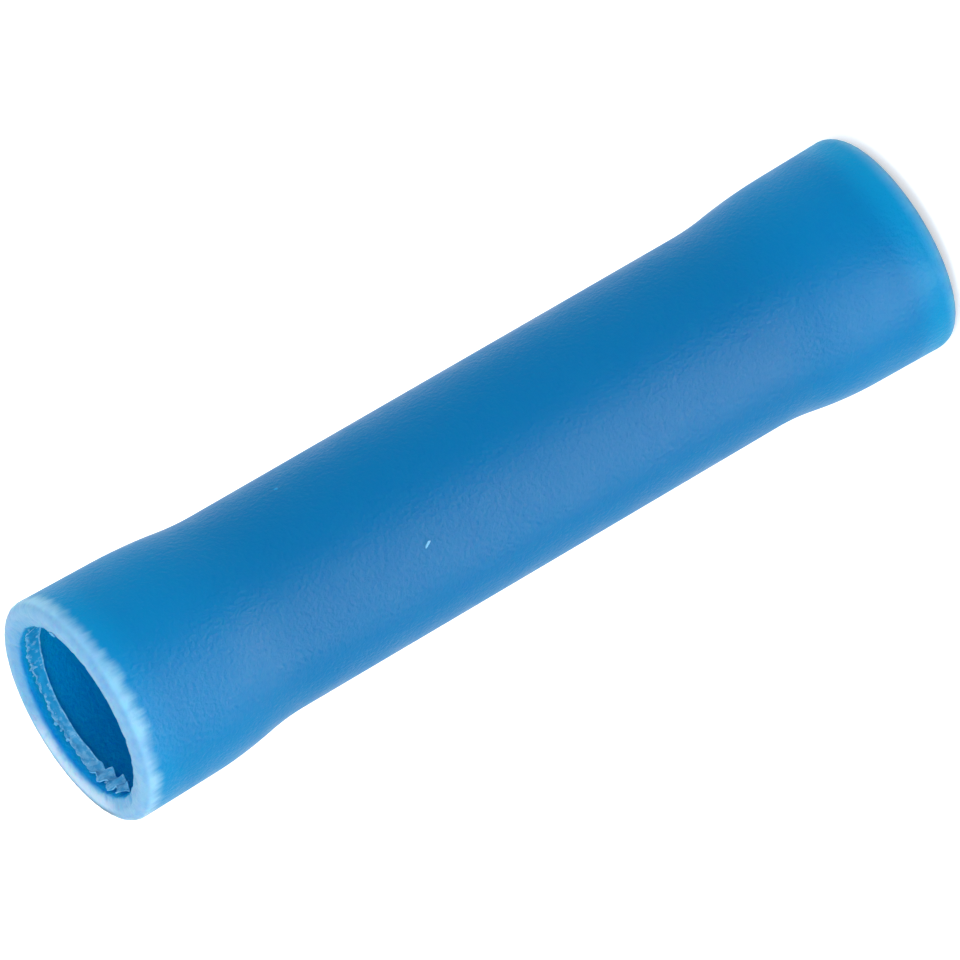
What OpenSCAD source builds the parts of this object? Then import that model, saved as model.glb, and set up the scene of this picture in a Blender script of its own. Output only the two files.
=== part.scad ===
// Insulated butt splice connector for 1.5 to 2.5 mm2 wire.
// A flared vinyl sleeve holds a tinned copper crimp barrel at its middle.
// The connector stands on one rim: the axis is Z and the lower rim lies at Z = 0.

/* [Sleeve] */
// Length of the insulating sleeve from rim to rim
sleeve_length = 25; // [22:0.5:40]
// Outside diameter of the sleeve between its flared ends
sleeve_d = 5.4; // [4.8:0.05:5.8]

/* [Flared ends] */
// Outside diameter of each flared mouth, at its rim
mouth_d = 6.02; // [5.6:0.01:8]
// Wall thickness of each flared mouth, which leaves the bore where the wire's insulation enters
mouth_wall = 0.66; // [0.56:0.01:0.9]
// Distance from a rim to the point where the flare runs out into the sleeve
flare_length = 5.2; // [4:0.05:5.5]
// Distance from a rim to the knee, where the flare's curve ends
knee_length = 2.3; // [1:0.05:3]
// Angle at which the outside still widens from the knee to the rim
mouth_taper = 1.2; // [0:0.1:2]
// Share of the flare's curve that is the hollow bend at its neck
neck_share = 0.35; // [0.1:0.01:0.9]
// Radius of the outer edge of each rim
rim_round = 0.25; // [0.05:0.01:0.3]
// Width of the sloped lip that leads the wire's insulation into each mouth
lip_width = 0.28; // [0.1:0.01:0.4]
// Depth of that lip, from the rim down to the mouth's bore
lip_depth = 0.1; // [0.05:0.01:0.3]

/* [Crimp barrel] */
// Length of the crimp barrel
barrel_length = 14.5; // [10:0.5:15]
// Inside diameter of the barrel, where the stripped conductor enters
barrel_bore = 2.3; // [1.6:0.05:2.6]
// Wall thickness of the barrel
barrel_wall = 0.75; // [0.5:0.05:0.8]
// Size of the chamfer that leads the conductor into each end of the barrel
entry_chamfer = 0.3; // [0.1:0.05:0.35]
// Size of the broken outer edge at each end of the barrel
edge_break = 0.12; // [0.05:0.01:0.15]
// Radial gap between the barrel and the sleeve that grips it
grip_gap = 0.01; // [0:0.005:0.03]

/* [Wire stop] */
// Diameter of the hole left in the middle of the rolled wire stop
stop_bore = 1.2; // [0.8:0.05:1.5]
// Tip radius of the groove that is rolled round the barrel to raise the stop
groove_tip = 0.7; // [0.4:0.05:1]

/* [Hidden] */
$fn = 96;
arc_steps = 8;
edge_steps = 6;

sleeve_r = sleeve_d / 2;
mouth_r = mouth_d / 2;
mouth_bore_r = mouth_r - mouth_wall;
// Centre of the rim's round edge, tangent to the tapered outside and to the rim's face
rim_centre_r = mouth_r - rim_round * (tan(mouth_taper) + 1 / cos(mouth_taper));
barrel_bore_r = barrel_bore / 2;
barrel_r = barrel_bore_r + barrel_wall;
sleeve_bore_r = barrel_r + grip_gap;
middle_z = sleeve_length / 2;
barrel_low = middle_z - barrel_length / 2;
barrel_high = middle_z + barrel_length / 2;

// The stop's bead and its groove share one centre, so the rolled wall keeps its thickness.
bead_tip = groove_tip + barrel_wall;
roll_centre_r = stop_bore / 2 + bead_tip;

// Points along an arc about a centre, from one angle to another.
function arc(centre, radius, from, to, steps) =
    [for (i = [0:steps])
        let (a = from + (to - from) * i / steps)
        centre + radius * [cos(a), sin(a)]];

// A flare is a hollow arc at the neck and a round arc at the knee, which meet tangentially.
// The round arc ends at the knee on the slope of the mouth. The steepest angle follows from the
// rise, the run and that slope, and both radii follow from the steepest angle.
knee_share = 1 - neck_share;
flare_run = flare_length - knee_length;
function steepest(rise, taper) =
    atan2(rise, flare_run)
    + acos((flare_run * (neck_share + knee_share * cos(taper)) + rise * knee_share * sin(taper))
           / norm([rise, flare_run]));
function radii_sum(steep, taper) = flare_run / (sin(steep) - knee_share * sin(taper));

// Points of one flared surface, from the neck at neck_r to the knee before a mouth of mouth_edge_r.
function flare(neck_r, mouth_edge_r, taper) =
    let (
        knee_r = mouth_edge_r - knee_length * tan(taper),
        steep = steepest(knee_r - neck_r, taper),
        both = radii_sum(steep, taper),
        neck_radius = neck_share * both,
        knee_radius = knee_share * both
    )
    concat(
        arc([neck_r + neck_radius, flare_length], neck_radius, 180, 180 + steep, arc_steps),
        arc([knee_r, knee_length] - knee_radius * [cos(taper), sin(taper)],
            knee_radius, steep, taper, arc_steps)
    );

function reversed(points) = [for (i = [len(points) - 1:-1:0]) points[i]];
function upside_down(points) = [for (p = points) [p.x, sleeve_length - p.y]];

// Half section of one end: down the outside, round the rim, over the lip and up the inside.
function end_section() =
    concat(
        flare(sleeve_r, mouth_r, mouth_taper),
        arc([rim_centre_r, rim_round], rim_round, mouth_taper, -90, edge_steps),
        [[mouth_bore_r + lip_width, 0], [mouth_bore_r, lip_depth]],
        reversed(flare(sleeve_bore_r, mouth_bore_r, 0))
    );

module insulating_sleeve() {
    lower_end = end_section();
    color("#1A80C4")
        rotate_extrude()
            polygon(concat(lower_end, reversed(upside_down(lower_end))));
}

// Half section of the plain tube, with its lead-in chamfers and broken edges.
module tube_section() {
    polygon([
        [barrel_bore_r, barrel_low + entry_chamfer],
        [barrel_bore_r + entry_chamfer, barrel_low],
        [barrel_r - edge_break, barrel_low],
        [barrel_r, barrel_low + edge_break],
        [barrel_r, barrel_high - edge_break],
        [barrel_r - edge_break, barrel_high],
        [barrel_bore_r + entry_chamfer, barrel_high],
        [barrel_bore_r, barrel_high - entry_chamfer]
    ]);
}

// Half section of the bead that the rolled groove pushes into the bore.
module bead_section() {
    intersection() {
        translate([roll_centre_r, middle_z]) circle(r = bead_tip);
        translate([0, barrel_low]) square([barrel_r, barrel_length]);
    }
}

module crimp_barrel() {
    color("#C9CCCE")
        rotate_extrude()
            difference() {
                union() {
                    tube_section();
                    bead_section();
                }
                translate([roll_centre_r, middle_z]) circle(r = groove_tip);
            }
}

insulating_sleeve();
crimp_barrel();
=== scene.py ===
import math

import bpy
from mathutils import Matrix, Quaternion, Vector, noise


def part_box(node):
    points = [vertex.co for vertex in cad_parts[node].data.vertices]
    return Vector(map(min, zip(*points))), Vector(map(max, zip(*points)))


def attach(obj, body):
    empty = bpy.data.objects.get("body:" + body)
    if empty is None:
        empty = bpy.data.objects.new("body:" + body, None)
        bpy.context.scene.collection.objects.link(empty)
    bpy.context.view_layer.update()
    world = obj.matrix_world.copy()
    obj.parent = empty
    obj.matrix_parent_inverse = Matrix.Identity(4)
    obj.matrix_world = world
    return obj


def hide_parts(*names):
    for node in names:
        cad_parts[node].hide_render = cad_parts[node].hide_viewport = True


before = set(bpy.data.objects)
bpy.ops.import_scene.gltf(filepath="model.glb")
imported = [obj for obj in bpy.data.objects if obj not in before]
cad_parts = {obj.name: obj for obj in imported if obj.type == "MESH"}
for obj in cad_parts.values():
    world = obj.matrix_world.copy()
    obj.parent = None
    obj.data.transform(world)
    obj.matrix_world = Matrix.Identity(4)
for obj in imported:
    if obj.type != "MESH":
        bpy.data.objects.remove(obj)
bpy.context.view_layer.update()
mm = 0.001  # sizes below are in millimetres
weldGap = 0.0005  # points closer than this are one

sleeveLow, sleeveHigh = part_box("insulating_sleeve")
barrelLow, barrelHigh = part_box("crimp_barrel")
sleeveLength = (sleeveHigh.z - sleeveLow.z) / mm
middleZ = sleeveLength / 2
print("frame loaded: sleeve", round(sleeveLength, 2), "mm long")


# Mesh helpers

def startClean():
    if bpy.context.object and bpy.context.object.mode != "OBJECT":
        bpy.ops.object.mode_set(mode="OBJECT")
    bpy.ops.object.select_all(action="DESELECT")


def arcPoints(centre, radius, fromAngle, toAngle, steps):
    points = []
    for i in range(steps + 1):
        a = math.radians(fromAngle + (toAngle - fromAngle) * i / steps)
        points.append((centre[0] + radius * math.cos(a), centre[1] + radius * math.sin(a)))
    return points


def evenRun(start, end, steps):  # points between two ends, without the ends
    return [tuple(start[k] + (end[k] - start[k]) * i / steps for k in (0, 1))
            for i in range(1, steps)]


def roundCorner(before, corner, after, radius, steps):  # a corner of a section, as a small arc
    a, b, c = Vector(before), Vector(corner), Vector(after)
    toA, toC = (a - b).normalized(), (c - b).normalized()
    half = toA.angle(toC) / 2
    centre = b + (toA + toC).normalized() * radius / math.sin(half)
    start = b + toA * radius / math.tan(half) - centre
    end = b + toC * radius / math.tan(half) - centre
    turn = start.angle_signed(end)
    return [tuple(centre + Matrix.Rotation(-turn * i / steps, 2) @ start) for i in range(steps + 1)]


def upsideDown(section, span):  # the same outline from the other end, with heights from span down
    return [(radius, span - height) for radius, height in reversed(section)]


def spinSection(name, section, turns):  # closed (radius, height) outline in mm, spun round Z
    startClean()
    bpy.ops.mesh.primitive_circle_add(vertices=len(section), radius=mm, fill_type="NOTHING")
    piece = bpy.context.object
    piece.name = piece.data.name = name
    for vertex, (radius, height) in zip(piece.data.vertices, section):
        vertex.co = (radius * mm, 0, height * mm)
    bpy.ops.object.mode_set(mode="EDIT")
    bpy.ops.mesh.select_all(action="SELECT")
    bpy.ops.mesh.spin(steps=turns, angle=math.tau, center=(0, 0, 0), axis=(0, 0, 1))
    bpy.ops.mesh.select_all(action="SELECT")
    bpy.ops.mesh.remove_doubles(threshold=weldGap * mm)
    bpy.ops.mesh.normals_make_consistent(inside=False)
    bpy.ops.object.mode_set(mode="OBJECT")
    bpy.ops.object.shade_smooth()
    return piece


def easeStep(value, low, high):
    share = min(max((value - low) / (high - low), 0.0), 1.0)
    return share * share * (3 - 2 * share)


def noiseAt(x, y, z):
    return noise.noise(Vector((x, y, z)))


# Node helpers

def addNode(tree, kind, **values):  # values set node settings, or inputs by name with _ for a space
    node = tree.nodes.new(kind)
    for key, value in values.items():
        if hasattr(node, key):
            setattr(node, key, value)
        else:
            node.inputs[key.replace("_", " ")].default_value = value
    return node


def addMath(tree, operation, first, second=None, third=None, clamp=False):
    node = addNode(tree, "ShaderNodeMath", operation=operation, use_clamp=clamp)
    for socket, value in zip(node.inputs, (first, second, third)):
        if isinstance(value, (int, float)):
            socket.default_value = value
        elif value is not None:
            tree.links.new(value, socket)
    return node.outputs[0]


def addRange(tree, value, low, high, toLow=0.0, toHigh=1.0):  # a smooth step from low to high
    node = addNode(tree, "ShaderNodeMapRange", interpolation_type="SMOOTHSTEP",
                   From_Min=low, From_Max=high, To_Min=toLow, To_Max=toHigh)
    tree.links.new(value, node.inputs["Value"])
    return node.outputs["Result"]


def addMix(tree, factor, first, second):
    node = addNode(tree, "ShaderNodeMix", data_type="RGBA")
    sockets = (node.inputs[0], node.inputs[6], node.inputs[7])  # the factor and both colours
    for socket, value in zip(sockets, (factor, first, second)):
        if isinstance(value, bpy.types.NodeSocket):
            tree.links.new(value, socket)
        else:
            socket.default_value = value
    return node.outputs[2]


def addNoise(tree, coords, scale, detail=2.0, stretch=None, roughness=0.5):
    if stretch:
        squeeze = addNode(tree, "ShaderNodeMapping", Scale=stretch)
        tree.links.new(coords, squeeze.inputs["Vector"])
        coords = squeeze.outputs["Vector"]
    node = addNode(tree, "ShaderNodeTexNoise", Scale=scale, Detail=detail, Roughness=roughness)
    tree.links.new(coords, node.inputs["Vector"])
    return node.outputs["Fac"]


def addBump(tree, shader, height, strength, distance):
    bump = addNode(tree, "ShaderNodeBump", Strength=strength, Distance=distance * mm)
    tree.links.new(height, bump.inputs["Height"])
    tree.links.new(bump.outputs["Normal"], shader.inputs["Normal"])


def millimetres(tree):  # the piece's own coordinates, in mm
    place = addNode(tree, "ShaderNodeTexCoord")
    scale = addNode(tree, "ShaderNodeMapping", Scale=(1 / mm,) * 3)
    tree.links.new(place.outputs["Object"], scale.inputs["Vector"])
    return scale.outputs["Vector"]


def splitAxes(tree, coords):
    axes = addNode(tree, "ShaderNodeSeparateXYZ")
    tree.links.new(coords, axes.inputs["Vector"])
    return axes.outputs["X"], axes.outputs["Y"], axes.outputs["Z"]


def newGroup(name, inputs, outputs):
    group = bpy.data.node_groups.new(name, "ShaderNodeTree")
    for label, kind, value in inputs:
        socket = group.interface.new_socket(name=label, in_out="INPUT", socket_type="NodeSocket" + kind)
        if value is not None:
            socket.default_value = value
    for label, kind in outputs:
        group.interface.new_socket(name=label, in_out="OUTPUT", socket_type="NodeSocket" + kind)
    return group, addNode(group, "NodeGroupInput"), addNode(group, "NodeGroupOutput")


def placeGroup(tree, group, coords, **values):
    node = addNode(tree, "ShaderNodeGroup", node_tree=group)
    for key, value in values.items():
        node.inputs[key].default_value = value
    tree.links.new(coords, node.inputs["Place"])
    return node.outputs


def newMaterial(name, **values):  # values set the shader's inputs, with _ for a space
    material = bpy.data.materials.new(name)
    material.use_nodes = True
    tree = material.node_tree
    shader = tree.nodes["Principled BSDF"]
    for key, value in values.items():
        shader.inputs[key.replace("_", " ")].default_value = value
    return material, tree, shader


def linear(code):  # "#rrggbb" as seen on screen, to the colour that Blender mixes
    parts = [int(code[i:i + 2], 16) / 255 for i in (1, 3, 5)]
    return tuple(p / 12.92 if p <= 0.04045 else ((p + 0.055) / 1.055) ** 2.4 for p in parts) + (1.0,)


# Shared surface effects

def makeGrainGroup():  # fine orange peel of moulded or plated skin
    group, start, end = newGroup(
        "fineGrain",
        [("Place", "Vector", None), ("Fine", "Float", 9.0), ("Coarse", "Float", 1.4)],
        [("Height", "Float"), ("Mottle", "Float")],
    )
    fine = addNode(group, "ShaderNodeTexNoise", Detail=3.0, Roughness=0.55)
    coarse = addNode(group, "ShaderNodeTexNoise", Detail=2.0, Roughness=0.5)
    for node, label in ((fine, "Fine"), (coarse, "Coarse")):
        group.links.new(start.outputs["Place"], node.inputs["Vector"])
        group.links.new(start.outputs[label], node.inputs["Scale"])
    coarseShare = 0.3
    height = addMath(group, "MULTIPLY_ADD", coarse.outputs["Fac"], coarseShare, fine.outputs["Fac"])
    group.links.new(height, end.inputs["Height"])
    group.links.new(coarse.outputs["Fac"], end.inputs["Mottle"])
    return group


fineGrain = makeGrainGroup()


# Insulating sleeve

sleeveSpec = {
    "bodyR": 2.7,
    "mouthR": 3.01,
    "mouthBoreR": 2.35,
    "boreR": 1.91,
    "flareLength": 5.2,
    "kneeLength": 2.3,
    "mouthTaper": 1.2,
    "neckShare": 0.35,
    "rimRound": 0.25,
    "lowRimRound": 0.35,  # the far rim is rounder in the photo
    "lipWidth": 0.28,
    "lipDepth": 0.1,
    "lipRound": 0.25,  # radii that soften the lip's outer edge
    "lowLipRound": 0.1,
    "lipFootRound": 0.08,  # and its inner one
    "arcSteps": 12,
    "edgeSteps": 10,
    "lipSteps": 4,
    "lipFootSteps": 6,
    "mouthRows": 8,
    "lipRows": 4,
    "innerRows": 9,
    "boreRows": 4,
    "bodyRows": 14,
    "turns": 400,
    "topLean": -0.025,  # how far each bell sits off the axis, along X
    "bottomLean": -0.034,
    "leanFade": (2.6, 5.2),  # depths between which the lean runs out
    "topCut": (0.002, 0.0204),  # slopes of the cut through the upper rim, along X and Y
    "lowCut": (0.018, -0.068),  # the same for the lower rim, which still stands on its back half
    "cutFade": (0.4, 3.0),  # depths between which the slant runs out
    "lowRough": 0.5,  # the far end is cut more cleanly
    "crestR": 2.72,  # outside this radius a rim is shaved
    "shave": 0.012,  # height of the shaved fibres round a rim
    "shaveDepth": 0.9,
    "shaveFade": (0.1, 0.8),
    "nick": 0.04,  # depth of the nicks in the mouth's edge
    "nickR": 2.7,  # inside this radius its lip is nicked
    "nickDepth": 0.35,
    "nickFade": 0.25,
    "drop": 0.05,  # how far a nick lowers that edge
    "dropFade": 0.1,
}


def flarePoints(spec, neckR, mouthR, taper):  # a hollow bend at the neck, a round one at the knee
    slope = math.radians(taper)
    neckShare, kneeShare = spec["neckShare"], 1 - spec["neckShare"]
    run = spec["flareLength"] - spec["kneeLength"]
    kneeR = mouthR - spec["kneeLength"] * math.tan(slope)
    rise = kneeR - neckR
    level = run * (neckShare + kneeShare * math.cos(slope)) + rise * kneeShare * math.sin(slope)
    steep = math.atan2(rise, run) + math.acos(level / math.hypot(rise, run))
    radii = run / (math.sin(steep) - kneeShare * math.sin(slope))
    neck, knee = neckShare * radii, kneeShare * radii
    kneeCentre = (kneeR - knee * math.cos(slope), spec["kneeLength"] - knee * math.sin(slope))
    turn = math.degrees(steep)
    return (arcPoints((neckR + neck, spec["flareLength"]), neck, 180, 180 + turn, spec["arcSteps"])
            + arcPoints(kneeCentre, knee, turn, taper, spec["arcSteps"])[1:])


def endSection(spec, rimRound, lipRound):  # from the body over the rim and back into the bore
    slope = math.radians(spec["mouthTaper"])
    outer = flarePoints(spec, spec["bodyR"], spec["mouthR"], spec["mouthTaper"])
    rimCentre = (spec["mouthR"] - rimRound * (math.tan(slope) + 1 / math.cos(slope)), rimRound)
    rimEdge = arcPoints(rimCentre, rimRound, spec["mouthTaper"], -90, spec["edgeSteps"])
    inner = flarePoints(spec, spec["boreR"], spec["mouthBoreR"], 0)[::-1]
    lipTop = (spec["mouthBoreR"] + spec["lipWidth"], 0)
    lipFoot = (spec["mouthBoreR"], spec["lipDepth"])
    topArc = roundCorner(rimEdge[-1], lipTop, lipFoot, lipRound, spec["lipSteps"])
    footArc = roundCorner(lipTop, lipFoot, inner[0], spec["lipFootRound"], spec["lipFootSteps"])
    return (outer + evenRun(outer[-1], rimEdge[0], spec["mouthRows"]) + rimEdge
            + topArc + evenRun(topArc[-1], footArc[0], spec["lipRows"]) + footArc
            + evenRun(footArc[-1], inner[0], spec["innerRows"]) + inner)


def sleeveSection(spec):
    lower = endSection(spec, spec["lowRimRound"], spec["lowLipRound"])
    upper = upsideDown(endSection(spec, spec["rimRound"], spec["lipRound"]), sleeveLength)
    return (lower + evenRun(lower[-1], upper[0], spec["boreRows"])
            + upper + evenRun(upper[-1], lower[0], spec["bodyRows"]))


def roughenRims(piece, spec):  # leaning bells, shaved fibres outside the rims, nicks in the lips
    for vertex in piece.data.vertices:
        x, y, z = vertex.co / mm
        top = z > middleZ
        depth = min(z, sleeveLength - z)
        if depth > spec["flareLength"]:
            continue
        radius = math.hypot(x, y)
        out = Vector((x / radius, y / radius, 0))
        side = 1.0 if top else spec["lowRough"]
        move = Vector((0, 0, 0))
        if depth < spec["shaveDepth"] and radius > spec["crestR"]:
            fibres = noiseAt(x * 7, y * 7, z * 1.6)
            move += out * spec["shave"] * side * fibres * (1 - easeStep(depth, *spec["shaveFade"]))
        if depth < spec["nickDepth"] and radius < spec["nickR"]:
            edge = easeStep(spec["nickDepth"] - depth, 0.0, spec["nickFade"])
            ragged = noiseAt(x * 5, y * 5, z * 2 + 40) + 0.5 * noiseAt(x * 13, y * 13, 9)
            move -= out * spec["nick"] * side * ragged * edge
            chipped = max(noiseAt(x * 4, y * 4, 21) + 0.6 * noiseAt(x * 10, y * 10, 5), 0.0)
            inward = easeStep(spec["crestR"] - radius, 0.0, spec["dropFade"])
            move.z -= (1 if top else -1) * spec["drop"] * side * chipped * edge * inward
        lean = spec["topLean"] if top else spec["bottomLean"]
        move.x += lean * (1 - easeStep(depth, *spec["leanFade"]))
        vertex.co += move * mm


def slantCuts(piece, spec):  # neither end is cut quite square
    for vertex in piece.data.vertices:
        x, y, z = vertex.co / mm
        depth = min(z, sleeveLength - z)
        slope = spec["topCut"] if z > middleZ else spec["lowCut"]
        rise = slope[0] * x + slope[1] * y
        if z < middleZ:
            rise = max(rise, 0.0)
        vertex.co.z += rise * (1 - easeStep(depth, *spec["cutFade"])) * mm


vinylFades = {  # where one look turns into the next: depths below the nearer rim, unless noted
    "bell": (6.0, 1.4),
    "brim": (1.5, 0.4),
    # painted light at the lower brim
    "lowBrimPaintedLight": (1.4, 0.2),
    "inner": (0.1, 0.22),
    "deep": (0.45, 1.0),
    # painted shade: the deep bore darker towards -X
    "deepShaded": (1.2, -2.0),  # along X
    "topWhite": (0.62, 0.2),
    "lowWhite": (0.5, -0.05),
    "innerWhite": (0.2, 0.03),
    "shaved": (0.08, 0.2),
    # where the painted highlight lies on the lip
    "paintedHighlight": (0.13, 0.03),
    "greyed": (0.09, 0.02),
    "isTop": (middleZ - 0.1, middleZ + 0.1),  # heights
    "outside": (2.55, 2.7),  # radii
    "paintedHighlightR": (2.78, 2.64),
    "greyedR": (2.74, 2.82),
    "highlightFacing": (0.68, 0.92),  # cosine of the angle from the side with the painted highlight
    "blotches": (0.4, 0.7),  # shares of a noise
    "tufts": (0.45, 0.65),
    "mottle": (0.3, 0.7),
}


def makeVinyl(spec, fades):
    look = {
        "body": linear("#0075b0"),
        # bell and brim are painted light: lighter towards the flared ends, in place of light through the
        # thinner wall
        "bell": linear("#0081bd"),
        "brim": linear("#008cc8"),
        # painted light at the lower brim, in place of light that the floor takes away
        "lowBrimPaintedLight": linear("#0496cc"),
        "inner": linear("#10a1dc"),  # lit through the wall, just inside the mouth
        "deep": linear("#009fde"),
        # painted shade: the deep bore darker towards -X
        "deepShaded": linear("#0088c7"),
        "pale": linear("#81b1d2"),
        "paleBlue": linear("#72a6cf"),
        "streak": linear("#86bfdf"),
        "tuft": linear("#92cae5"),
        "lip": linear("#74a9d0"),
        # painted highlight on one side of the lip
        "glow": linear("#b3cfe3"),
        "edge": linear("#54758a"),
    }
    highlightAngle = math.radians(122)
    lowWhiteShare = 0.65
    material, tree, shader = newMaterial(
        "blueVinyl", Specular_IOR_Level=0.06, Subsurface_Weight=1.0,
        Subsurface_Radius=(0.05, 0.5, 1.0), Subsurface_Scale=0.4 * mm)
    coords = millimetres(tree)
    x, y, z = splitAxes(tree, coords)
    grain = placeGroup(tree, fineGrain, coords, Fine=8.5, Coarse=1.2)

    def combine(operation, *values):
        return addMath(tree, operation, *values)

    def times(first, second):
        return combine("MULTIPLY", first, second)

    def fade(value, name):
        return addRange(tree, value, *fades[name])

    # depth below the nearer rim, radius, and which end and side of the wall it is
    topRim = combine("MULTIPLY_ADD", x, spec["topCut"][0],
                     combine("MULTIPLY_ADD", y, spec["topCut"][1], sleeveLength))
    lowRim = combine("MULTIPLY_ADD", x, spec["lowCut"][0], times(y, spec["lowCut"][1]))
    depth = combine("MINIMUM", combine("SUBTRACT", topRim, z),
                    combine("SUBTRACT", z, combine("MAXIMUM", lowRim, 0.0)))
    radius = combine("POWER", combine("ADD", combine("POWER", x, 2.0), combine("POWER", y, 2.0)), 0.5)
    isTop = fade(z, "isTop")
    isLow = combine("SUBTRACT", 1.0, isTop)
    outside = fade(radius, "outside")
    within = combine("SUBTRACT", 1.0, outside)

    # painted light: lighter towards each flared end, in place of light through the thinner wall
    colour = addMix(tree, fade(depth, "bell"), look["body"], look["bell"])
    colour = addMix(tree, fade(depth, "brim"), colour, look["brim"])
    # painted light: the lower brim lighter still, in place of light that the floor takes away
    colour = addMix(tree, times(isLow, fade(depth, "lowBrimPaintedLight")), colour, look["lowBrimPaintedLight"])
    # inside the mouth the skin is lit through the wall and turns deep blue further in
    colour = addMix(tree, times(within, fade(depth, "inner")), colour, look["inner"])
    # painted shade: the deep bore's wall darker towards -X
    deepBlueShaded = addMix(tree, fade(x, "deepShaded"), look["deep"], look["deepShaded"])
    colour = addMix(tree, times(within, fade(depth, "deep")), colour, deepBlueShaded)

    # whitened skin: the rim itself, and a feathered edge that runs down the outside from it
    fibres = addNoise(tree, coords, 7.5, detail=3.0, stretch=(1, 1, 0.15), roughness=0.6)
    clumps = addNoise(tree, coords, 2.4, detail=3.0, stretch=(1, 1, 0.3))
    fibreReach, clumpReach = 0.3, 0.4  # how far each of them shifts that edge in all
    ragged = combine("ADD", combine("MULTIPLY_ADD", fibres, fibreReach, -fibreReach / 2),
                     combine("MULTIPLY_ADD", clumps, clumpReach, -clumpReach / 2))
    topWhite = fade(combine("SUBTRACT", depth, ragged), "topWhite")
    lowWhite = times(fade(depth, "lowWhite"), lowWhiteShare)
    outerWhite = combine("ADD", times(topWhite, isTop), times(lowWhite, isLow))
    white = addMath(tree, "ADD", times(outerWhite, outside),
                    times(fade(depth, "innerWhite"), within), clamp=True)
    blotches = addNoise(tree, coords, 3.2, detail=4.0, roughness=0.65)
    paleSkin = addMix(tree, fade(blotches, "blotches"), look["pale"], look["paleBlue"])
    shaved = addMix(tree, fade(clumps, "tufts"), look["streak"], look["tuft"])
    paleSkin = addMix(tree, fade(depth, "shaved"), paleSkin, shaved)
    paleSkin = addMix(tree, within, paleSkin, look["lip"])

    # on one side the lip gets a painted highlight, nearly white, and a thin grey line along its outer edge
    towards = combine("DIVIDE", combine("ADD", times(x, math.cos(highlightAngle)),
                                        times(y, math.sin(highlightAngle))), radius)
    highlightSide = times(fade(towards, "highlightFacing"), isTop)
    paintedHighlight = times(fade(radius, "paintedHighlightR"), fade(depth, "paintedHighlight"))
    paleSkin = addMix(tree, times(highlightSide, paintedHighlight), paleSkin, look["glow"])
    greyed = times(fade(radius, "greyedR"), fade(depth, "greyed"))
    paleSkin = addMix(tree, times(highlightSide, greyed), paleSkin, look["edge"])

    tree.links.new(addMix(tree, white, colour, paleSkin), shader.inputs["Base Color"])
    rough = addRange(tree, grain["Mottle"], *fades["mottle"], toLow=0.33, toHigh=0.42)
    tree.links.new(rough, shader.inputs["Roughness"])
    addBump(tree, shader, grain["Height"], strength=1.0, distance=0.031)
    return material


sleeve = spinSection("insulatingSleeve", sleeveSection(sleeveSpec), sleeveSpec["turns"])
roughenRims(sleeve, sleeveSpec)
sleeve.data.materials.append(makeVinyl(sleeveSpec, vinylFades))
print("sleeve spun:", len(sleeve.data.polygons), "faces")


# Burr of cut vinyl inside the photographed mouth

burrSpec = {
    "fromAngle": 12,
    "toAngle": 172,
    "columns": 480,
    "rows": 10,
    "wallR": 2.35,
    "clearance": 0.015,  # between the wall and the film's middle
    "lift": 0.06,  # how far its deep edge stands off the wall
    "thickness": 0.03,
    "edgeThickness": 0.055,  # of the rolled, pale deep edge
    "mouthEdge": 0.305,  # mean depth of the torn edge
    "mouthWave": 0.075,  # how far it wanders from that
    "mouthWaveAngle": 85,  # where it is deepest
    "deepEdge": 0.65,  # depth of the smooth edge
    "endRise": 0.2,  # the smooth edge rises at the end, between two angles
    "endAngles": (158, 170),
    "foldsFrom": 128,  # from about here on the film is folded
    "looseAngles": (124, 138),  # between these it comes loose
    "foldStep": 13.3,  # degrees from fold to fold
    "foldPhase": 2.2,
    "tornFold": 0.085,  # how far a fold moves each edge
    "deepFold": 0.06,
    "looseLift": 0.08,
    "rolledShare": 0.4,  # shares from which a face is pale
    "frayedShare": 0.55,
    "sharpAngle": 50,
    "tapers": (0.04, 0.03),  # shares of the length in which it thins out at each end
}


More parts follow.
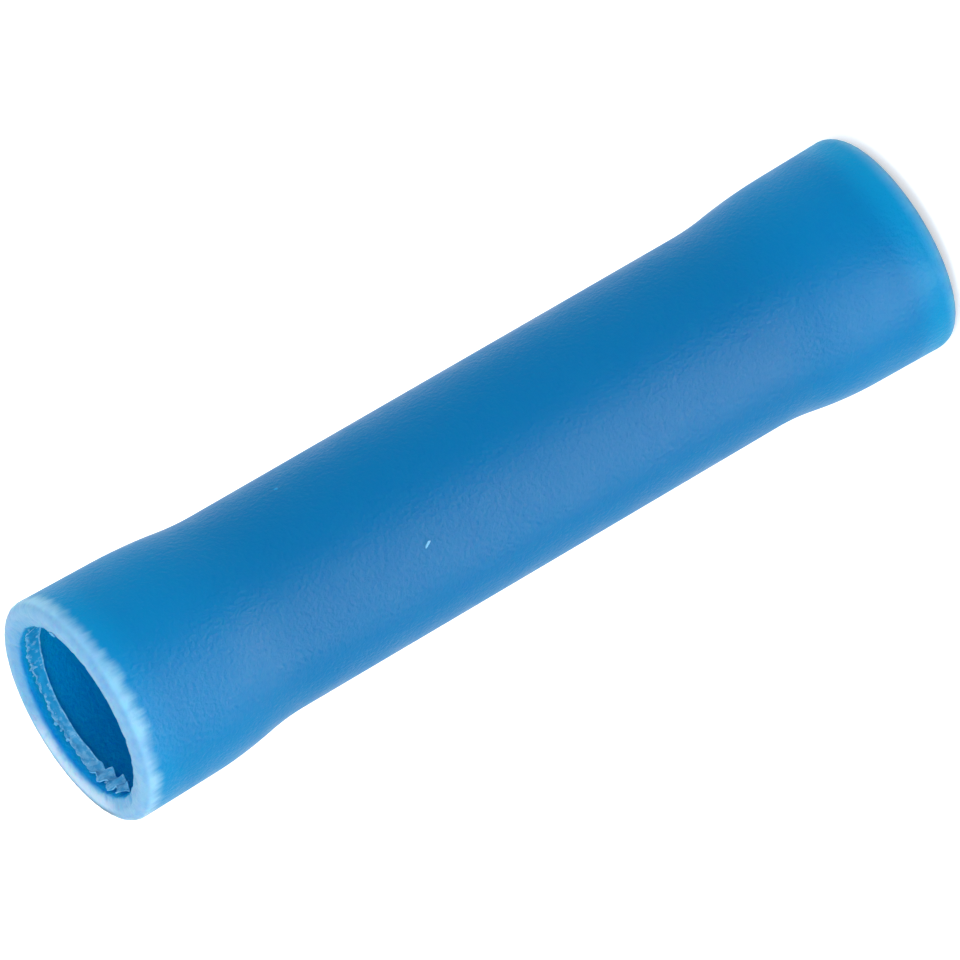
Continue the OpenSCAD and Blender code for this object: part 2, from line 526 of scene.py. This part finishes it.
def makeBurr(spec):
    startClean()
    bpy.ops.mesh.primitive_grid_add(x_subdivisions=spec["columns"], y_subdivisions=spec["rows"], size=1)
    burr = bpy.context.object
    burr.name = burr.data.name = "mouthBurr"
    rolled = burr.vertex_groups.new(name="rolled")
    frayed = burr.vertex_groups.new(name="frayed")
    for vertex in burr.data.vertices:
        # across runs from the torn edge to the smooth one
        along, across = vertex.co.x + 0.5, vertex.co.y + 0.5
        angle = spec["fromAngle"] + (spec["toAngle"] - spec["fromAngle"]) * along
        a = math.radians(angle)
        fold = math.sin(math.tau * (angle - spec["foldsFrom"]) / spec["foldStep"] + spec["foldPhase"])
        loose = easeStep(angle, *spec["looseAngles"])
        thin = (easeStep(along, 0.0, spec["tapers"][0])
                * easeStep(1 - along, 0.0, spec["tapers"][1]))
        wave = math.cos(2 * (a - math.radians(spec["mouthWaveAngle"])))
        torn = spec["mouthEdge"] + spec["mouthWave"] * wave
        torn += 0.08 * noiseAt(angle * 0.13, 3.1, 0) + 0.06 * noiseAt(angle * 0.33, 8.3, 0)
        smooth = spec["deepEdge"] + 0.03 * noiseAt(angle * 0.06, 5.5, 0)
        smooth += loose * (spec["deepFold"] * fold + 0.04 * noiseAt(angle * 0.21, 1.9, 0))
        smooth -= spec["endRise"] * easeStep(angle, *spec["endAngles"])
        torn -= loose * spec["tornFold"] * fold
        torn = smooth - (smooth - torn) * (0.25 + 0.75 * thin)
        depth = torn + (smooth - torn) * across
        lift = spec["lift"] * (0.2 + 0.8 * across ** 1.3)
        lift += 0.025 * noiseAt(angle * 0.2, across * 2, 1.7)
        lift += loose * (spec["looseLift"] + 0.09 * fold * (across - 0.25)
                         + 0.05 * noiseAt(angle * 0.35, across, 4.4))
        radius = spec["wallR"] - spec["clearance"] - max(lift, 0.0) * thin
        vertex.co = Vector((radius * math.cos(a), radius * math.sin(a), sleeveLength - depth)) * mm
        rolled.add([vertex.index], easeStep(across, 0.8, 1.0), "REPLACE")
        frayed.add([vertex.index], easeStep(1 - across, 0.7, 1.0), "REPLACE")
    solid = burr.modifiers.new("thickness", "SOLIDIFY")
    solid.thickness, solid.offset = spec["edgeThickness"] * mm, 0
    solid.vertex_group = "rolled"
    solid.thickness_vertex_group = spec["thickness"] / spec["edgeThickness"]
    bpy.ops.object.modifier_apply(modifier="thickness")
    # the rolled edge and tufts of the torn one take the second, paler material
    for face in burr.data.polygons:
        deep, mouth = (sum(burr.data.vertices[v].groups[k].weight for v in face.vertices)
                       / len(face.vertices) for k in (0, 1))
        place = face.center / mm
        tuft = noiseAt(math.degrees(math.atan2(place.y, place.x)) * 0.3, place.z * 6, 2.2)
        pale = deep > spec["rolledShare"] or mouth + tuft > spec["frayedShare"]
        face.material_index = 1 if pale else 0
    bpy.ops.object.vertex_group_remove(all=True)
    bpy.ops.object.mode_set(mode="EDIT")
    bpy.ops.mesh.select_all(action="SELECT")
    bpy.ops.mesh.normals_make_consistent(inside=False)
    bpy.ops.object.mode_set(mode="OBJECT")
    bpy.ops.object.shade_smooth_by_angle(angle=math.radians(spec["sharpAngle"]))
    return burr


def makeCutFilm():
    look = {"thin": linear("#1c9ad4"), "thick": linear("#47a6da"), "pale": linear("#76c0ea")}
    material, tree, shader = newMaterial("cutFilm", Roughness=0.45, Specular_IOR_Level=0.08)
    coords = millimetres(tree)
    patches = addNoise(tree, coords, 7.0, detail=3.0, roughness=0.55)
    lower = addRange(tree, splitAxes(tree, coords)[0], 1.0, -1.2)  # thicker and paler towards -X
    colour = addMix(tree, lower, look["thin"], look["thick"])
    paleShare = addRange(tree, addMath(tree, "MULTIPLY_ADD", lower, 0.12, patches), 0.5, 0.75)
    colour = addMix(tree, paleShare, colour, look["pale"])
    tree.links.new(colour, shader.inputs["Base Color"])
    return material


def makeFray():  # vinyl torn into pale edges and crumbs
    look = {"fray": linear("#55aee0"), "bright": linear("#85c8ee")}
    material, tree, shader = newMaterial("paleFray", Roughness=0.5, Specular_IOR_Level=0.08)
    patches = addRange(tree, addNoise(tree, millimetres(tree), 11.0, detail=3.0), 0.4, 0.65)
    tree.links.new(addMix(tree, patches, look["fray"], look["bright"]), shader.inputs["Base Color"])
    return material


def makeChip(place, out, along, size, seed):  # an irregular grain
    startClean()
    bpy.ops.mesh.primitive_ico_sphere_add(subdivisions=3, radius=1)
    chip = bpy.context.object
    out, along = Vector(out).normalized(), Vector(along)
    along = (along - out * along.dot(out)).normalized()
    across = out.cross(along)
    for vertex in chip.data.vertices:
        uneven = 1 + 0.45 * noise.noise(vertex.co * 1.7 + Vector((seed * 3.7, seed * 1.3, 0)))
        spot = vertex.co * uneven
        vertex.co = (Vector(place) + along * spot.x * size[0] / 2 + across * spot.y * size[1] / 2
                     + out * spot.z * size[2] / 2) * mm
    bpy.ops.object.shade_smooth()
    return chip


crumbSpec = {
    "wallR": 2.33,
    "wander": 0.6,  # share of a crumb's step that it strays along the edge
    "scatter": 0.13,  # how far it strays in depth
    "shape": (1.4, 1, 0.8),  # along, across and off the wall
    "patches": (  # angles, depth, count, size
        (6, 30, 0.34, 8, 0.07),
        (48, 58, 0.33, 4, 0.07),
        (76, 112, 0.42, 6, 0.095),
        (140, 168, 0.42, 4, 0.07),
    ),
}


def makeCrumbs(spec):  # froth along the torn edge
    crumbs = []
    for start, end, depth, count, size in spec["patches"]:
        for i in range(count):
            seed = len(crumbs) + 1
            wander = noiseAt(seed * 1.7, 0.3, 0)
            a = math.radians(start + (end - start) * (i + 0.5 + spec["wander"] * wander) / count)
            out = Vector((-math.cos(a), -math.sin(a), 0.15))
            below = depth + spec["scatter"] * noiseAt(seed * 2.3, 4.1, 0)
            place = Vector((spec["wallR"] * math.cos(a), spec["wallR"] * math.sin(a), sleeveLength - below))
            grow = size * (0.75 + 0.7 * noiseAt(seed * 3.1, 7.7, 0))
            chipSize = [grow * share for share in spec["shape"]]
            crumbs.append(makeChip(place, out, (0.3 * wander, 0.2, 1), chipSize, seed))
    return crumbs


speckSeed = 50
speckSpec = (  # place, direction off the surface, direction along, size along, across and off it
    # flake on the lip
    ((1.88, -1.58, sleeveLength - 0.03), (-0.3, 0.25, 1), (0.64, 0.77, 0), (0.24, 0.1, 0.06)),
    # specks on the body
    ((-0.79, -2.585, 15.85), (-0.29, -0.96, 0), (0.5, 0, -0.87), (0.22, 0.07, 0.03)),
    ((2.22, -1.54, 18.13), (0.82, -0.57, 0), (0.2, 0.3, 0.93), (0.1, 0.08, 0.02)),
)

burr = makeBurr(burrSpec)
film, fray = makeCutFilm(), makeFray()
burr.data.materials.append(film)
burr.data.materials.append(fray)
crumbs = makeCrumbs(crumbSpec)
specks = [makeChip(*spec, speckSeed + i) for i, spec in enumerate(speckSpec)]
for chip in crumbs + specks[:1]:
    chip.data.materials.append(fray)
for chip in specks[1:]:  # those on the body barely show
    chip.data.materials.append(film)
startClean()
for piece in [burr, sleeve] + crumbs + specks:
    piece.select_set(True)
bpy.context.view_layer.objects.active = sleeve
bpy.ops.object.join()
slantCuts(sleeve, sleeveSpec)
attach(sleeve, "root")
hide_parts("insulating_sleeve")
print("burr and chips joined:", len(sleeve.data.polygons), "faces")


# Crimp barrel

barrelSpec = {
    "boreR": 1.15,
    "outerR": 1.9,
    "chamfer": 0.3,
    "edgeBreak": 0.12,
    "cornerRound": 0.05,
    "rollR": 2.05,  # shared centre of the rolled groove and of the wire stop it raises
    "grooveTip": 0.7,
    "beadTip": 1.45,
    "turns": 180,
    "rollSteps": 20,
    "cornerSteps": 4,
    "rows": 10,
}


def barrelSection(spec):
    low, high = barrelLow.z / mm, barrelHigh.z / mm
    bore, outer, chamfer, edge = spec["boreR"], spec["outerR"], spec["chamfer"], spec["edgeBreak"]
    roll, rows = (spec["rollR"], (low + high) / 2), spec["rows"]
    grooveTurn = math.degrees(math.acos((roll[0] - outer) / spec["grooveTip"]))
    beadTurn = math.degrees(math.acos((roll[0] - bore) / spec["beadTip"]))
    groove = arcPoints(roll, spec["grooveTip"], 180 + grooveTurn, 180 - grooveTurn, spec["rollSteps"])
    bead = arcPoints(roll, spec["beadTip"], 180 - beadTurn, 180 + beadTurn, spec["rollSteps"])
    corners = [(bore, low + chamfer), (bore + chamfer, low), (outer - edge, low), (outer, low + edge)]
    lower = []
    for i, corner in enumerate(corners):
        before = corners[i - 1] if i else (bore, roll[1])
        after = corners[i + 1] if i + 1 < len(corners) else (outer, roll[1])
        lower += roundCorner(before, corner, after, spec["cornerRound"], spec["cornerSteps"])
    upper = upsideDown(lower, low + high)
    return (lower + evenRun(lower[-1], groove[0], rows) + groove
            + evenRun(groove[-1], upper[0], rows) + upper
            + evenRun(upper[-1], bead[0], rows) + bead
            + evenRun(bead[-1], lower[0], rows))


def makeTinnedCopper():
    look = {"tin": linear("#c8cacb"), "dull": linear("#b2b2ae")}
    material, tree, shader = newMaterial("tinnedCopper", Metallic=1.0)
    coords = millimetres(tree)
    grain = placeGroup(tree, fineGrain, coords, Fine=12.0, Coarse=2.2)
    # lines left by drawing the tube
    drawn = addNoise(tree, coords, 14.0, detail=2.0, stretch=(1, 1, 0.03))
    colour = addMix(tree, addRange(tree, grain["Mottle"], 0.38, 0.66), look["tin"], look["dull"])
    tree.links.new(colour, shader.inputs["Base Color"])
    rough = addMath(tree, "MULTIPLY_ADD", drawn, 0.16,
                    addMath(tree, "MULTIPLY_ADD", grain["Mottle"], 0.22, 0.14))
    tree.links.new(rough, shader.inputs["Roughness"])
    height = addMath(tree, "MULTIPLY_ADD", grain["Height"], 0.4, drawn)
    addBump(tree, shader, height, strength=0.5, distance=0.006)
    return material


barrel = spinSection("crimpBarrel", barrelSection(barrelSpec), barrelSpec["turns"])
barrel.data.materials.append(makeTinnedCopper())
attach(barrel, "root")
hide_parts("crimp_barrel")
print("barrel spun:", len(barrel.data.polygons), "faces")


# Camera, at the photo's view

cameraSpec = {
    "distance": 215.1,
    "lens": 327.6,
    "elevation": 21.5,
    "roll": -120.27,
    "shift": (-0.0091, -0.00965),
    "clip": (0.01, 10),  # metres
}


def makeCamera(spec):
    tilt = math.radians(spec["elevation"])
    back = Vector((0, -math.cos(tilt), math.sin(tilt)))
    camera = bpy.data.objects.new("camera", bpy.data.cameras.new("camera"))
    bpy.context.scene.collection.objects.link(camera)
    turn = (-back).to_track_quat("-Z", "Y").to_matrix().to_4x4()
    centre = Vector((0, 0, middleZ * mm))
    camera.matrix_world = (Matrix.Translation(centre + back * spec["distance"] * mm) @ turn
                           @ Matrix.Rotation(math.radians(spec["roll"]), 4, "Z"))
    camera.data.lens = spec["lens"]
    camera.data.shift_x, camera.data.shift_y = spec["shift"]
    camera.data.clip_start, camera.data.clip_end = spec["clip"]
    bpy.context.scene.camera = camera


makeCamera(cameraSpec)
print("camera placed")


# Floor and light

stageSpec = {
    "floorSize": 2.0,  # metres
    "floorGap": 0.01,  # below the lower rim
    "floor": (0.8, 0.8, 0.8, 1),
    "boost": 0.36,  # what the floor adds where a reflection sees it
    "seenBoost": 0.55,  # and where the camera does
    "world": (0.9, 0.9, 0.9, 1),
}

lampSpec = {  # power in watts
    "overhead": {"place": (-20, -80, 260), "size": (220, 220), "power": 0.22,
                 "aim": (0, 0, middleZ), "glossy": False},
    "sideFill": {"place": (-120, -160, 40), "size": (120, 80), "power": 0.105,
                 "aim": (0, 0, middleZ), "glossy": False},
    "sheenTable": {"place": (-35.8, -47.9, 0.05), "size": (70, 88), "power": 0.225,
                   "aim": (-35.8, -47.9, 50), "diffuse": False, "turn": 1.5},
}


def makeFloor(spec):
    startClean()
    height = sleeveLow.z - spec["floorGap"] * mm
    bpy.ops.mesh.primitive_plane_add(size=spec["floorSize"], location=(0, 0, height))
    floor = bpy.context.object
    floor.name = "floor"
    material, tree, shader = newMaterial(
        "paleFloor", Base_Color=spec["floor"], Roughness=0.9, Specular_IOR_Level=0.0,
        Emission_Color=(1, 1, 1, 1))
    path = addNode(tree, "ShaderNodeLightPath")
    mirrored = addMath(tree, "MAXIMUM", path.outputs["Is Glossy Ray"], path.outputs["Is Transmission Ray"])
    seenGlow = addMath(tree, "MULTIPLY", path.outputs["Is Camera Ray"], spec["seenBoost"])
    glow = addMath(tree, "MAXIMUM", seenGlow, addMath(tree, "MULTIPLY", mirrored, spec["boost"]))
    tree.links.new(glow, shader.inputs["Emission Strength"])
    floor.data.materials.append(material)


def makeLamp(name, place, size, power, aim, diffuse=True, glossy=True, turn=0):
    data = bpy.data.lights.new(name, "AREA")
    data.shape, data.size, data.size_y = "RECTANGLE", size[0] * mm, size[1] * mm
    data.energy = power
    lamp = bpy.data.objects.new(name, data)
    bpy.context.scene.collection.objects.link(lamp)
    lamp.location = Vector(place) * mm
    lamp.rotation_mode = "QUATERNION"
    lamp.rotation_quaternion = (Quaternion((0, 0, 1), math.radians(turn))  # turn is round Z, in degrees
                                @ (Vector(aim) * mm - lamp.location).to_track_quat("-Z", "Y"))
    lamp.visible_camera, lamp.visible_diffuse, lamp.visible_glossy = False, diffuse, glossy


def makeWorld(spec):
    world = bpy.data.worlds.new("softRoom")
    bpy.context.scene.world = world
    world.use_nodes = True
    world.node_tree.nodes["Background"].inputs["Color"].default_value = spec["world"]


makeFloor(stageSpec)
makeWorld(stageSpec)
for name, values in lampSpec.items():
    makeLamp(name, **values)
bpy.context.scene.view_settings.view_transform = "Standard"
print("stage lit")
